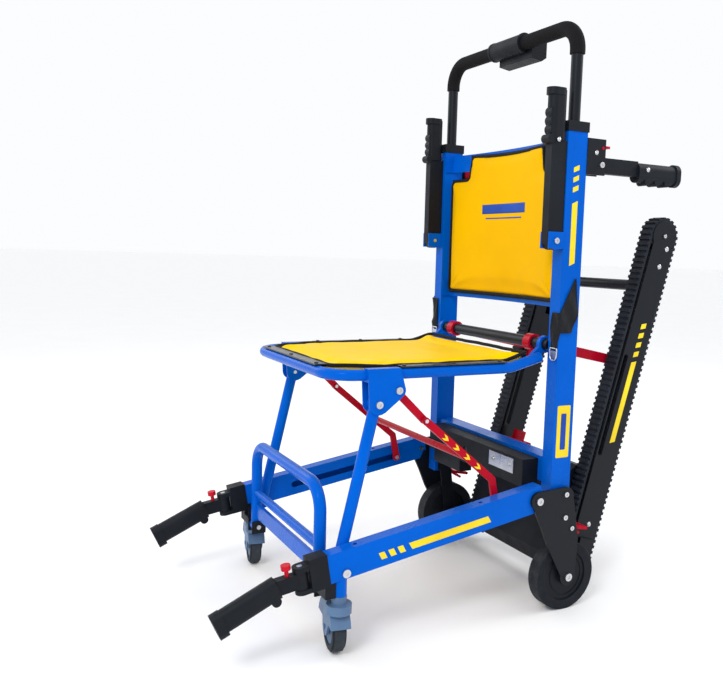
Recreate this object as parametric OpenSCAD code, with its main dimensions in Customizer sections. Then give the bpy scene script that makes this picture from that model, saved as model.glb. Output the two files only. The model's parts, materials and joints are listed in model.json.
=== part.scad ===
// Powered stair chair: folding frame with rear driving tracks, seat, lifting handles and wheels.
// The occupant faces -Y, +X is the occupant's left, and Z = 0 is the floor.
// Origin: on the floor, at the centre of the chair's box.

/* [Frame posts] */
// Distance between the outer faces of the two posts
post_span = 505; // [480:1:530]
// Width of a post, across the chair
post_w = 32; // [28:1:36]
// Depth of a post, front to back
post_d = 50; // [44:1:54]
// Height of the top of the posts above the floor
post_top = 1006; // [990:1:1030]
// Height of the lower end of the posts
post_bottom = 190; // [180:1:200]
// Wall of the posts and of the base rails
wall = 2.5; // [2:0.1:3.5]

/* [Rear wheels] */
// Rolling radius of the rear wheels
wheel_r = 75; // [72:1:78]
// Width of the rear wheels
wheel_w = 30; // [24:1:30]

/* [Base rails] */
// Slope of the base rails down to the front
rail_slope = 9.26; // [8.5:0.01:10]
// Length of a rail from its pivot to its front end
rail_len = 472; // [460:1:480]
// Height of the rail section
rail_h = 55; // [50:1:58]
// Width of the rail section
rail_w = 28; // [24:1:28]

/* [Casters] */
// Radius of the caster wheels
caster_r = 48; // [44:1:48]
// Width of the caster wheels
caster_w = 26; // [22:1:28]
// Distance from the swivel axis to the caster axle
caster_trail = 32; // [28:1:36]
// Direction of the trail at rest, turned from straight back
caster_turn = 80; // [0:1:90]

/* [Seat] */
// Half distance between the side tubes of the seat
seat_half = 215; // [212:1:215]
// Height of the seat tubes
seat_z = 525; // [520:1:527]
// Distance of the seat's front tube in front of the wheel axle
seat_front = 533; // [525:1:540]
// Outside diameter of the seat tube
seat_tube_d = 22; // [20:1:22]

/* [Backrest] */
// Height of the lower edge of the backrest
back_low = 660; // [655:1:680]
// Height of the upper edge of the backrest
back_high = 992; // [980:1:994]
// How far the backrest bows to the rear
back_bow = 22; // [15:1:24]

/* [Tracks] */
// Lean of the tracks to the rear
track_lean = 15.8; // [14:0.1:16]
// Distance between the track's two pulley axes
track_len = 770; // [740:1:780]
// Outer radius of the belt over its lugs
track_r = 43; // [40:1:44]
// Half distance between the tracks' centre planes
track_half = 177; // [176:1:178]
// Width of the belt
belt_w = 34; // [30:1:34]
// Number of lugs on a belt
belt_lugs = 136; // [110:2:144]

/* [Push bar] */
// Height of the centre line of the push bar's grip
bar_z = 1218; // [1200:1:1226]
// Outside diameter of the push bar tube
bar_d = 24; // [22:1:24]
// Outside diameter of the foam sleeve
foam_d = 31; // [29:1:32]

/* [Hidden] */
$fn = 48;

blue = "royalblue";
black = "#1c2026";
red = "crimson";
silver = "silver";
yellow = "gold";
grey = "slategray";

// the rear wheel axle's middle, set off so that the origin is the centre of the chair's box
axle_x = 30.84;
axle_y = 216.41;
eps = 0.01;
gap = 0.3;                              // air between curved faces that move past each other

post_out = post_span / 2;
post_in = post_out - post_w;
post_x = post_out - post_w / 2;
post_front = -48;                       // from here on, y is counted from the wheel axle
post_rear = post_front + post_d;

rail_in = 230;
rail_out = rail_in + rail_w;
rail_x = rail_in + rail_w / 2;
rail_pivot = [-85, 250.7];              // y and z of the base fold axis
rail_up = 30;                           // top face of the rail above the pivot line
rail_down = rail_h - rail_up;
slot_from = 68;                         // strut slot in the rail's inner face
slot_to = 360;

// y and z of a point at a distance along the rail and a height above its pivot line
function rail_point(s, n) = rail_pivot + [-s * cos(rail_slope) - n * sin(rail_slope),
    -s * sin(rail_slope) + n * cos(rail_slope)];

seat_pivot = [-42, 570];                // y and z of the seat fold axis
pivot_tube_r = 12.5;
leg_top = [-446, 470];
leg_foot = rail_point(440, -14);
strut_top = [-405, 495];
strut_knee = [-338, 430];
strut_bend = [-176, 296];
strut_foot = rail_point(80, 0);

plate_x = 258.5;                        // inner face of the outer side plates
plate_t = 6;

track_base = [82, 67];                  // y and z of the drive pulley axis
belt_t = 5;
lug_h = 4;
pulley_r = track_r - lug_h - belt_t - 0.3;

brake_pivot = [4, 182];                 // wheel brake hinge
arm_pivot = [-68, 786];                 // armrest hinge
arm_z = 985;
handle_pivot = [40, 944];               // rear carrying handle hinge
stay_end = [192, 522];                  // cross bar of the track stay
caster_y = -524;
boss_low = 121;

// ---- shared shapes ----

module at_axle() translate([axle_x, axle_y, 0]) children();

module both_sides() {
    children();
    mirror([1, 0, 0]) children();
}

// round bar along X between two x values
module x_bar(r, x0, x1) translate([x0, 0, 0]) rotate([0, 90, 0]) cylinder(r = r, h = x1 - x0);

// moves a shape to a y, z place
module at(p) translate([0, p[0], p[1]]) children();

// extrudes a (y, z) outline along X
module x_sheet(x0, x1) translate([x0, 0, 0]) rotate([90, 0, 90]) linear_extrude(x1 - x0) children();

// a flat bar with round ends between two (y, z) points
module link2d(a, b, r) {
    d = b - a;
    l = norm(d);
    translate(a) rotate(atan2(d[1], d[0])) {
        circle(r);
        translate([0, -r]) square([l, 2 * r]);
        translate([l, 0]) circle(r);
    }
}

// stadium with its first centre at 0 and its second one above it
module stadium(l, r) {
    circle(r);
    translate([-r, 0]) square([2 * r, l]);
    translate([0, l]) circle(r);
}

// straight round rod between two points
module rod(a, b, r) {
    d = b - a;
    h = norm(d);
    translate(a) rotate([0, acos(d[2] / h), atan2(d[1], d[0])]) cylinder(r = r, h = h);
}

// pan head screw that points along +X
module screw(head_r, head_h, shank_r, shank_l) {
    rotate([0, 90, 0]) {
        difference() {
            cylinder(r = head_r, h = head_h);
            translate([0, 0, head_h - 1.5]) cylinder(r = head_r * 0.45, h = 2, $fn = 6);
        }
        translate([0, 0, -shank_l]) cylinder(r = shank_r, h = shank_l + eps);
    }
}

// plan section of a sheet that bows to the rear between the posts
module bow2d(y_end, t, half, bow) {
    r = (post_in * post_in + bow * bow) / (2 * bow);
    intersection() {
        translate([0, y_end + bow - r]) difference() {
            circle(r, $fn = 360);
            circle(r - t, $fn = 360);
        }
        translate([-half, y_end - t - 1]) square([2 * half, bow + t + 2]);
    }
}

// places a shape in the rail's frame: -Y runs along the rail to the front
module on_rail() at(rail_pivot) rotate([rail_slope, 0, 0]) children();

// places a shape in the tracks' frame: +Z runs up the track from the drive pulley
module on_track() at(track_base) rotate([-track_lean, 0, 0]) children();

// ---- fixed frame ----

module post() difference() {
    translate([post_in, post_front, post_bottom]) cube([post_w, post_d, post_top - post_bottom]);
    translate([post_in + wall, post_front + wall, post_bottom - 1])
        cube([post_w - 2 * wall, post_d - 2 * wall, post_top - post_bottom + 2]);
    for (p = [[-16, 258], [-16, 208]]) at(p) x_bar(4.05, post_out - wall - 1, post_out + 1);
}

module posts() at_axle() color(blue) both_sides() {
    post();
    armrest_clevis();
}

// clevis of the armrest on the front of a post
module armrest_clevis() {
    for (x = [226, 251.5]) difference() {
        x_sheet(x, x + 3) {
            translate([-86, 770]) square([38 + eps, 34]);
            translate(arm_pivot) circle(18);
        }
        at(arm_pivot) x_bar(4.05, x - 1, x + 4);
    }
    translate([229 - eps, post_front - 0.8, 770]) cube([22.5 + 2 * eps, 0.8 + eps, 34]);
}

module post_caps() at_axle() color(black) both_sides() difference() {
    union() {
        translate([post_in - 2, post_front - 2, post_top]) cube([post_w + 4, post_d + 4, 20]);
        translate([post_in + wall, post_front + wall, post_top - 30])
            cube([post_w - 2 * wall, post_d - 2 * wall, 30 + eps]);
    }
    translate([post_x, post_front + post_d / 2, post_top - 31]) cylinder(r = bar_d / 2 + 0.15, h = 60);
}

module lower_crossbeam() at_axle() color(blue) difference() {
    translate([-post_in, -40, 275]) cube([2 * post_in, 41, 54]);
    translate([-post_in + 4, -40 + wall, 275 - 1]) cube([2 * post_in - 8, 41 - 2 * wall, 54 - wall + 1]);
    // fixing holes in the rear face
    for (x = [-120, 120]) translate([x, 3, 302]) rotate([90, 0, 0]) cylinder(r = 4.25, h = wall + 4);
}

module back_bands() at_axle() color(blue) for (z = [956, 648]) translate([0, 0, z]) {
    linear_extrude(41) bow2d(-24, 3, post_in - 2.9, back_bow);
    both_sides() translate([post_in - 3, -46, 0]) cube([3, 34, 41]);
}

// outline of the backrest with its notched upper corners
module back_outline(grow) translate([0, 50, 0]) rotate([90, 0, 0]) linear_extrude(100)
    difference() {
        translate([-212 - grow, back_low - grow])
            square([424 + 2 * grow, back_high - back_low + 2 * grow]);
        for (s = [-1, 1]) translate([s * (146 + grow) - (s < 0 ? 80 : 0), back_high - 56 + grow])
            square([80, 80]);
        translate([0, back_high + 2996 + grow]) circle(3000, $fn = 720);
    }

module backrest_pad() at_axle() color(yellow) intersection() {
    linear_extrude(1100) bow2d(-31, 10, 212, back_bow);
    back_outline(0);
}

module backrest_panel() at_axle() color(black) intersection() {
    linear_extrude(1100) bow2d(-28.5, 2, 214, back_bow);
    back_outline(2);
}

module guide_card() at_axle() color(yellow) translate([-100, 3, 732]) cube([200, 1.5, 204]);

module seat_pivot_tube() at_axle() color(black) at(seat_pivot) difference() {
    x_bar(pivot_tube_r, -post_in, post_in);
    x_bar(pivot_tube_r - 2.5, -post_in - 1, post_in + 1);
}

module side_plates() at_axle() color(black) both_sides() {
    // outer plate: base pivot, post and wheel axle
    difference() {
        union() {
            x_sheet(plate_x, plate_x + plate_t) {
                link2d(rail_pivot, [-14, 254], 19);
                translate([0, wheel_r]) circle(19);
                polygon([[-98, 237], [-72, 184], [-54, 142], [-18.6, 79], [18.6, 79], [23, 158], [5, 252],
                    [-14, 260]]);
            }
            for (p = [[-16, 258], [-16, 208]]) at(p) x_bar(9, post_out, plate_x + eps);
        }
        at(rail_pivot) x_bar(6.05, plate_x - 1, plate_x + 9);
        at([0, wheel_r]) x_bar(6.05, plate_x - 1, plate_x + 9);
        for (p = [[-16, 258], [-16, 208]]) at(p) x_bar(4.05, post_out - 1, plate_x + 9);
        at(brake_pivot) x_bar(3.03, plate_x - 1, plate_x + 9);
    }
    // inner plate: post to wheel axle, with the stub that the tracks turn on
    difference() {
        union() {
            x_sheet(post_in - 4, post_in) {
                translate([-40, 192]) square([38, 50]);
                link2d([-18, 200], [0, wheel_r], 16);
            }
            at([0, wheel_r]) x_bar(10, 197.5, post_in - 4 + eps);
        }
        at([0, wheel_r]) x_bar(6.05, 190, post_in + 2);
    }
}

module frame_bolts() at_axle() color(silver) {
    both_sides() {
        // wheel axle, base pivot, post bolts
        at([0, wheel_r]) translate([plate_x + plate_t, 0, 0]) screw(8.5, 5, 6, 61);
        at(rail_pivot) translate([plate_x + plate_t, 0, 0]) screw(8, 4, 6, 34);
        for (p = [[-16, 258], [-16, 208]])
            at(p) translate([plate_x + plate_t, 0, 0]) screw(5.5, 4, 4, 16);
        at(brake_pivot) translate([plate_x + plate_t, 0, 0]) screw(5, 3, 3, 41);
        // armrest hinge and rear handle hinge, both through their cheeks
        at(arm_pivot) translate([254.5, 0, 0]) screw(6, 4, 4, 30);
        at(handle_pivot) translate([254, 0, 0]) screw(6, 4, 4, 29.5);
    }
    // screws of the two back bands, on their rear faces
    for (z = [976, 668], x = [-150, -75, 75, 150])
        translate([x, -24 + back_bow * (1 - x * x / (post_in * post_in)) + 0.1, z])
            rotate([0, 0, 90 - atan(2 * back_bow * x / (post_in * post_in))]) screw(4, 2.5, 2, eps);
    // clamp plate on the battery box and its two bolts
    translate([72, -82.5, 284]) cube([92, 1.5, 32]);
    for (x = [88, 148]) translate([x, -82.5, 300]) rotate([0, 0, -90]) screw(5, 3, 2, eps);
}

module handle_brackets() at_axle() color(black) both_sides() difference() {
    union() {
        for (x = [226, 250]) translate([x, post_rear + 4 - eps, 923]) cube([4, 44, 73]);
        translate([226, post_rear, 923]) cube([28, 4, 73]);
    }
    at(handle_pivot) x_bar(4.05, 225, 255);
    at([42, 978]) x_bar(3.05, 225, 255);
    at([16, 944]) x_bar(4.05, 225, 231);
}

module battery_box() at_axle() color(black) difference() {
    union() {
        translate([-196, -81, 262]) cube([392, 41, 60]);
        translate([-176, -78, 232]) cube([120, 34, 31]);
    }
    // shell over the cells
    translate([-193, -78, 265]) cube([386, 35, 54]);
    // charging socket
    translate([-30, -75, 292]) rotate([90, 0, 0]) cylinder(r = 9, h = 10);
}

module battery_pack() at_axle() color("dimgray") for (x = [-188, -62, 64])
    translate([x, -76.5, 266.5]) cube([124, 32, 51]);

module data_plate() at_axle() color("whitesmoke") translate([-56, 1, 284]) cube([150, 1, 36]);

// supply cable from the crossbeam down to the drive housing
cable_path = [
    [-70, -18, 290], [-70, -16, 270], [-72, -10, 256], [-76, 2, 246], [-80, 18, 242],
    [-82, 36, 246], [-82, 52, 254], [-80, 66, 262], [-78, 77, 267]
];

function unit(v) = v / norm(v);
function heading(p, i) = unit(p[min(i + 1, len(p) - 1)] - p[max(i - 1, 0)]);
function ring(p, i, r, n) =
    let (t = heading(p, i), u = unit(cross(t, [1, 0, 0])), v = cross(t, u))
    [for (k = [0:n - 1]) p[i] + r * (cos(360 * k / n) * u + sin(360 * k / n) * v)];

// a tube swept along a list of points
module swept(path, r, n) {
    m = len(path);
    points = [for (i = [0:m - 1]) each ring(path, i, r, n)];
    sides = [for (i = [0:m - 2], k = [0:n - 1])
        [i * n + k, i * n + (k + 1) % n, (i + 1) * n + (k + 1) % n, (i + 1) * n + k]];
    ends = [[for (k = [n - 1:-1:0]) k], [for (k = [0:n - 1]) (m - 1) * n + k]];
    polyhedron(points, concat(sides, ends));
}

module drive_cable() at_axle() color(black) swept(cable_path, 2.5, 8);

module belt_straps() at_axle() color(black) both_sides() {
    // webbing round the outer front edge of the post
    x_sheet(post_out + 0.5, post_out + 3.5)
        polygon([[-12, 712], [-2, 640], [-18, 596], [-47.5, 600], [-47.5, 640]]);
    translate([post_in + 6, post_front - 3.5, 560]) cube([post_w - 2.5, 3, 78]);
    // steel tongue
    translate([post_in + 12, post_front - 4, 528]) cube([20, 2.5, 32 - eps]);
}

// ---- rear wheels ----

module rear_wheel() {
    at([0, wheel_r]) {
        difference() {
            x_bar(wheel_r, 226, 226 + wheel_w);
            x_bar(54, 225, 227 + wheel_w);
        }
        difference() {
            union() {
                x_bar(53.9, 229, 223 + wheel_w);
                x_bar(16, 226.5, 225.5 + wheel_w);
            }
            x_bar(6.05, 220, 262);
            // ring grooves in both faces
            for (x = [228, 221.5 + wheel_w]) difference() {
                x_bar(45, x, x + 2.5);
                x_bar(38, x - 1, x + 4);
            }
        }
    }
}

module wheel_left() at_axle() color(black) rear_wheel();
module wheel_right() at_axle() color(black) mirror([1, 0, 0]) rear_wheel();

// ---- push bar ----

bar_bend = 50;
bar_y = post_front + post_d / 2;
foam_low = bar_z - 58;

// half of the push bar's path as a tube of the given radii, from a lower end to the middle
module bar_half(r, low) {
    translate([post_x, 0, low]) cylinder(r = r, h = bar_z - bar_bend - low);
    translate([post_x - bar_bend, 0, bar_z - bar_bend]) rotate([90, 0, 0])
        rotate_extrude(angle = 90) translate([bar_bend, 0]) circle(r);
    translate([0, 0, bar_z]) x_bar(r, -eps, post_x - bar_bend);
}

module push_bar() at_axle() color(black) translate([0, bar_y, 0]) difference() {
    union() {
        bar_half(bar_d / 2, 760);
        mirror([1, 0, 0]) bar_half(bar_d / 2, 760);
    }
    // index holes of the height lock, and the bore of each leg
    both_sides() {
        for (z = [1060, 1105]) translate([post_x, 20, z]) rotate([90, 0, 0]) cylinder(r = 3.5, h = 20);
        translate([post_x, 0, 759]) cylinder(r = bar_d / 2 - 2, h = 360);
    }
}

module foam_sleeve() at_axle() color(black) translate([0, bar_y, 0]) difference() {
    union() {
        bar_half(foam_d / 2, foam_low);
        mirror([1, 0, 0]) bar_half(foam_d / 2, foam_low);
    }
    bar_half(bar_d / 2 + 0.05, foam_low - 1);
    mirror([1, 0, 0]) bar_half(bar_d / 2 + 0.05, foam_low - 1);
}

box_x = [-46, 76];                      // control box, from its right to its left end

module control_place() translate([0, bar_y, bar_z]) children();

module control_housing() at_axle() color(black) difference() {
    union() {
        // clamp sleeve round the foam
        translate([0, bar_y, bar_z]) {
            x_bar(foam_d / 2 + 5, -58, 58);
            x_bar(foam_d / 2 + 6, 52, 58);
            x_bar(foam_d / 2 + 6, -58, -52);
        }
        // box on the operator's side of the bar
        control_place() x_sheet(box_x[0], box_x[1])
            polygon([[6, -34], [34, -38], [46, -30], [46, 12], [38, 18], [6, 14]]);
    }
    translate([0, bar_y, bar_z]) x_bar(foam_d / 2 + 0.1, -100, 100);
    control_place() {
        // window recess and the two button wells
        translate([-38, 44, -22]) cube([46, 4, 26]);
        for (x = [26, 52]) translate([x, 50, -9]) rotate([90, 0, 0]) cylinder(r = 9, h = 12);
    }
}

module control_display() at_axle() color("#3a4650") control_place()
    translate([-38 + 0.2, 44 + 0.05, -22 + 0.2]) cube([45.6, 1.4, 25.6]);

module push_button(x) at_axle() color(grey) control_place() translate([x, 47.5, -9])
    rotate([90, 0, 0]) cylinder(r = 8.6, h = 6);

module button_up() push_button(52);
module button_down() push_button(26);

// ---- rear handles and their latches ----

module release_bar() at_axle() color(red) {
    at([16, 944]) x_bar(4, -230, 230);
    both_sides() difference() {
        x_sheet(214, 219) link2d([16, 944], [12, 990], 7);
        at([12, 990]) x_bar(2.5, 213, 220);
    }
}

// a moulded grip along +Y with finger ridges below and a flared end
module grip(l, w, h) {
    rotate([-90, 0, 0]) {
        linear_extrude(l) {
            square([w, h - w], center = true);
            for (s = [-1, 1]) translate([0, s * (h - w) / 2]) circle(w / 2);
        }
        for (i = [0:2]) translate([-w / 2 + 2, h / 2 - 3, l * (0.22 + 0.24 * i)])
            rotate([0, 90, 0]) cylinder(r = 8, h = w - 4);
        translate([0, 0, l - 12]) linear_extrude(12) {
            square([w + 4, h - w], center = true);
            for (s = [-1, 1]) translate([0, s * (h - w + 3) / 2]) circle(w / 2 + 2);
        }
    }
}

// a moulded grip along +Y with a smooth back and a flared end
module plain_grip(l, w, h) rotate([-90, 0, 0]) {
    linear_extrude(l) {
        square([w, h - w], center = true);
        for (s = [-1, 1]) translate([0, s * (h - w) / 2]) circle(w / 2);
    }
    translate([0, 2, l - 18]) linear_extrude(18) {
        square([w + 3, h - w], center = true);
        for (s = [-1, 1]) translate([0, s * (h - w + 4) / 2]) circle(w / 2 + 1.5);
    }
}

module rear_handle() {
    difference() {
        x_sheet(231, 249) {
            translate(handle_pivot) circle(16);
            translate([40, 928]) square([106, 32]);
        }
        at(handle_pivot) x_bar(4.05, 230, 250);
    }
    translate([240, 146 + eps, 937]) grip(120, 30, 42);
}

module rear_handle_left() at_axle() color(black) rear_handle();
module rear_handle_right() at_axle() color(black) mirror([1, 0, 0]) rear_handle();

module rear_latch() {
    difference() {
        x_sheet(231.5, 248.5) {
            translate([42, 978]) circle(7.5);
            translate([42, 979]) square([24, 5]);
        }
        at([42, 978]) x_bar(3.25, 230, 250);
    }
    at([42, 978]) x_bar(3, 224.5, 255.5);
}

module rear_latch_left() at_axle() color(red) rear_latch();
module rear_latch_right() at_axle() color(red) mirror([1, 0, 0]) rear_latch();

// ---- armrests ----

module armrest() {
    difference() {
        x_sheet(230, 251) {
            translate(arm_pivot) circle(18.5);
            translate([arm_pivot[0] - 18.5, arm_pivot[1]]) square([37, arm_z - arm_pivot[1]]);
        }
        at(arm_pivot) x_bar(4.05, 229, 252);
    }
    translate([240.5, arm_pivot[0] - 3, arm_z]) grip_upright(102);
}

// grip of an armrest along +Z, with finger ridges on its front and a top flared to the front
module grip_upright(l) {
    linear_extrude(l - 4) {
        square([26, 14], center = true);
        for (s = [-1, 1]) translate([0, s * 7]) circle(13);
    }
    translate([0, -3, l - 14]) linear_extrude(14) {
        square([28.5, 14], center = true);
        for (s = [-1, 1]) translate([0, s * 7]) circle(14.25);
    }
    for (i = [0:2]) translate([-10, -10.4, 20 + 17 * i]) rotate([0, 90, 0]) cylinder(r = 11, h = 20);
    translate([-12, -18, 2]) rotate([0, 90, 0]) cylinder(r = 9, h = 24);
}

module armrest_left() at_axle() color(black) armrest();
module armrest_right() at_axle() color(black) mirror([1, 0, 0]) armrest();

// ---- tracks and drive ----

track_in = track_half - belt_w / 2 - 2;
track_out = track_half + belt_w / 2 + 2;
lug_len = 6.6;
belt_round = PI * (track_r - lug_h);
belt_loop = 2 * track_len + 2 * belt_round;

// a lug placed at a distance round the belt loop, with the first one at the foot of the rear run
module lug(s) {
    rr = track_r - lug_h;
    if (s < track_len) translate([rr - 1, s - lug_len / 2]) square([lug_h + 1, lug_len]);
    else if (s < track_len + belt_round)
        translate([0, track_len]) rotate((s - track_len) / belt_round * 180)
            translate([rr - 1, -lug_len / 2]) square([lug_h + 1, lug_len]);
    else if (s < 2 * track_len + belt_round)
        translate([-rr - lug_h, 2 * track_len + belt_round - s - lug_len / 2])
            square([lug_h + 1, lug_len]);
    else rotate(180 + (s - 2 * track_len - belt_round) / belt_round * 180)
        translate([rr - 1, -lug_len / 2]) square([lug_h + 1, lug_len]);
}

module track_belts() at_axle() color(black) both_sides() on_track()
    x_sheet(track_half - belt_w / 2, track_half + belt_w / 2) difference() {
        union() {
            stadium(track_len, track_r - lug_h);
            for (i = [0:belt_lugs - 1]) lug((i + 0.25) * belt_loop / belt_lugs);
        }
        stadium(track_len, track_r - lug_h - belt_t);
    }

module track_frames() at_axle() color(black) both_sides() on_track() {
    difference() {
        union() {
            // slide box between the two runs
            x_sheet(track_half - 15, track_half + 15) difference() {
                translate([-28, 40]) square([58, track_len - 80]);
                translate([-8, 50]) square([34, track_len - 100]);
            }
            for (x = [track_in, track_out - 2]) x_sheet(x, x + 2) {
                translate([-28, 20]) square([60, track_len - 40]);
                circle(35);
                translate([0, track_len]) circle(35);
            }
            // ear round the stub that the tracks swing on
            x_sheet(track_out - 2, track_out + 6) {
                link2d([0, 0], ear, 18);
                translate([-12, 0]) square([40, 60]);
            }
            translate([0, 0, cross_tube_z]) x_bar(12.5, -eps, track_in + 1);
        }
        x_bar(8.05, track_in - 5, track_out + 10);
        translate([0, 0, track_len]) x_bar(6.05, track_in - 5, track_out + 5);
        at(ear) x_bar(10.05, track_out - 5, track_out + 8);
        // vent that opens the slide box, and the slot for the stay
        x_sheet(track_in - 1, track_half) translate([4, 560]) square([14, 40]);
        x_sheet(track_in - 1, track_out + 1) translate([stay_slot, 255]) stadium(225, 6);
    }
}

// the wheel axle, seen in the tracks' frame
ear = let (d = [0, wheel_r] - track_base)
    [d[0] * cos(track_lean) - d[1] * sin(track_lean), d[0] * sin(track_lean) + d[1] * cos(track_lean)];

cross_tube_z = 651;                     // along the track
stay_slot = -18;                        // across the track

module drive_housing() at_axle() color(black) on_track() {
    half = track_in - 0.5;
    // tray
    difference() {
        x_sheet(-half, half)
            polygon([[-56, 0], [-34, -30], [4, -30], [4, 214], [-40, 214], [-56, 196]]);
        x_sheet(-half + 3, half - 3)
            polygon([[-53, 1], [-33, -27], [5, -27], [5, 211], [-39, 211], [-53, 195]]);
        x_bar(9, -half - 1, half + 1);
    }
    // rear cover with its raised lip, screwed on the tray
    difference() {
        union() {
            x_sheet(-half, half) translate([4 + eps, -30]) square([3, 244]);
            x_sheet(-half + 8, half - 8) translate([7, 150]) square([3, 3]);
            x_sheet(-half + 8, half - 8) translate([7, 120]) square([2, 2]);
            // ridge round the drive shaft
            x_sheet(-half, half) intersection() {
                circle(12);
                translate([4 + eps, -12]) square(24);
            }
        }
        x_bar(9, -half - 1, half + 1);
        translate([40, 3, 40]) rotate([0, 0, 0]) cube([10, 10, 26]);
    }
}

module gear_motor() at_axle() color(grey) on_track() {
    // gearbox on the shaft
    difference() {
        x_sheet(-30, 30) {
            translate([-22, -20]) square([24, 100]);
        }
        x_bar(8.05, -31, 31);
    }
    at([-24, 60]) x_bar(24, -120, -30);
    at([-24, 60]) x_bar(24, 30, 44);
}

module drive_shaft() at_axle() color(silver) on_track() {
    x_bar(8, -track_out - 3, track_out + 3);
    both_sides() x_bar(pulley_r, track_half - 14, track_half + 14);
}

module idlers() at_axle() color(silver) on_track() both_sides() translate([0, 0, track_len]) {
    x_bar(pulley_r, track_half - 14, track_half + 14);
    x_bar(6, track_in - 2, track_out + 2);
}

module track_stay() at_axle() color(red) {
    at(stay_end) x_bar(7, -157, 157);
    both_sides() difference() {
        union() {
            x_sheet(146, 154) link2d(seat_pivot, stay_end, 11);
            at(seat_pivot) x_bar(18, 146, 168);
            x_sheet(146, 154) link2d(stay_end, stay_end + [-4, -34], 9);
        }
        at(seat_pivot) x_bar(pivot_tube_r + gap, 140, 170);
    }
}

pedal_z = 216;                          // along the track, on top of the housing

module release_pedal() at_axle() color(red) on_track() {
    translate([-143, -36, pedal_z]) cube([77, 34, 5]);
    translate([-138, -9, pedal_z + 5 - eps]) cube([44, 6, 24]);
    at([-4, pedal_z + 3]) x_bar(3.5, -143, -66);
}

// ---- wheel brakes ----

module brake() {
    difference() {
        union() {
            at(brake_pivot) x_bar(7, 226, 252);
            x_sheet(224, 254) link2d(brake_pivot, [54, 172], 3.5);
            x_sheet(226, 252) link2d(brake_pivot, [34, 164], 3);
        }
        at(brake_pivot) x_bar(3.06, 220, 260);
    }
}

module brake_left() at_axle() color(red) brake();
module brake_right() at_axle() color(red) mirror([1, 0, 0]) brake();

// ---- seat ----

seat_r = seat_tube_d / 2;
seat_corner = 60;
rise_y = -160;                          // from here the side tubes bend up to the pivot
rise_r = 150;
rise_turn = 14.7;
rise_top = [rise_y + rise_r * sin(rise_turn), seat_z + rise_r * (1 - cos(rise_turn))];
seat_end = rise_top + 59.5 * [cos(rise_turn), sin(rise_turn)];

module seat_frame() at_axle() color(blue) {
    both_sides() {
        rod([seat_half, rise_y, seat_z], [seat_half, -seat_front + seat_corner, seat_z], seat_r);
        translate([seat_half, rise_y, seat_z + rise_r]) rotate([0, 90, 0])
            rotate_extrude(angle = rise_turn) translate([rise_r, 0]) circle(seat_r);
        rod([seat_half, rise_top[0], rise_top[1]], [seat_half, seat_end[0], seat_end[1]], seat_r);
        translate([seat_half - seat_corner, -seat_front + seat_corner, seat_z])
            rotate([0, 0, -90]) rotate_extrude(angle = 90) translate([seat_corner, 0]) circle(seat_r);
        translate([0, -seat_front, seat_z]) x_bar(seat_r, -eps, seat_half - seat_corner);
        // hinge lug on the pivot tube
        difference() {
            x_sheet(196, 206) {
                translate(seat_pivot) circle(18);
                link2d(seat_pivot, [-72, 543], 8);
            }
            at(seat_pivot) x_bar(pivot_tube_r + gap, 190, 210);
        }
    }
}

module seat_pad() at_axle() color(yellow) intersection() {
    x_sheet(-199, 199) polygon([[-516, 518], [-516, 541], [-140, 541], [-84, 556], [-80, 546],
        [-140, 518]]);
    // front corners cut off inside the bend of the tube
    translate([0, 0, 500]) linear_extrude(80)
        polygon([[-210, -60], [-210, -419], [-199, -430], [-152, -520], [152, -520], [199, -430],
            [210, -419], [210, -60]]);
}

strip_z = seat_z + seat_r + 0.3;

module seat_strips() at_axle() color(silver) {
    // front clamping strip and two side strips, with their screws
    translate([-150, -seat_front - 9, strip_z + 1]) cube([300, 26, 2.5]);
    for (x = [-135, 0, 135]) translate([x, -seat_front, strip_z + 3.5]) rotate([0, -90, 0]) screw(4, 2, 2, 0.4);
    both_sides() {
        translate([seat_half - 13, -396, strip_z + 1]) cube([22, 242, 2.5]);
        for (y = [-386, -275, -166]) translate([seat_half, y, strip_z + 3.5]) rotate([0, -90, 0]) screw(4, 2, 2, 0.4);
    }
    // bolts of the legs and struts through the seat brackets
    both_sides() for (p = [leg_top, strut_top]) at(p) translate([233, 0, 0]) screw(7, 4, 4, 31);
}

module seat_brackets() at_axle() color(blue) both_sides() difference() {
    x_sheet(202, 233) {
        polygon([[-470, 538], [-402, 538], [-391, 500], [-398, 481], [-434, 453], [-466, 470]]);
        translate(leg_top) circle(20);
        translate(strut_top) circle(15);
    }
    // slot for the leg and the strut
    x_sheet(205, 230) translate([-480, 430]) square([90, 82.4]);
    translate([200, -480, 512]) cube([3.5, 90, 1.5]);
    // seat tube
    translate([seat_half, -480, seat_z]) rotate([-90, 0, 0]) cylinder(r = seat_r + 0.02, h = 90);
    translate([200, -480, seat_z]) cube([seat_half - 200, 90, 30]);
    for (p = [leg_top, strut_top]) at(p) x_bar(4.05, 200, 240);
}

// ---- linkage ----

module front_legs() at_axle() color(blue) both_sides() difference() {
    union() {
        rod([seat_half + 2.2, leg_foot[0], leg_foot[1]], [seat_half + 2.2, leg_top[0], leg_top[1]], 11.5);
        at(leg_top) x_bar(13, 206, 229);
        at(leg_foot) x_bar(13, 206, 228);
    }
    at(leg_top) x_bar(4.05, 200, 235);
    at(leg_foot) x_bar(4.05, 200, 235);
}

module struts() at_axle() color(red) {
    both_sides() difference() {
        union() {
            x_sheet(211, 217) link2d(strut_top, strut_knee, 7.5);
            x_sheet(217 - eps, 223) {
                link2d(strut_knee, strut_bend, 7.5);
                link2d(strut_bend, strut_foot, 7.5);
                translate(strut_foot) circle(9);
            }
        }
        at(strut_top) x_bar(4.05, 200, 235);
        at(strut_knee) x_bar(4.02, 200, 235);
        at(strut_foot) x_bar(5.02, 200, 235);
    }
    at([-238, 347]) x_bar(7, -218, 218);
}

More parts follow.
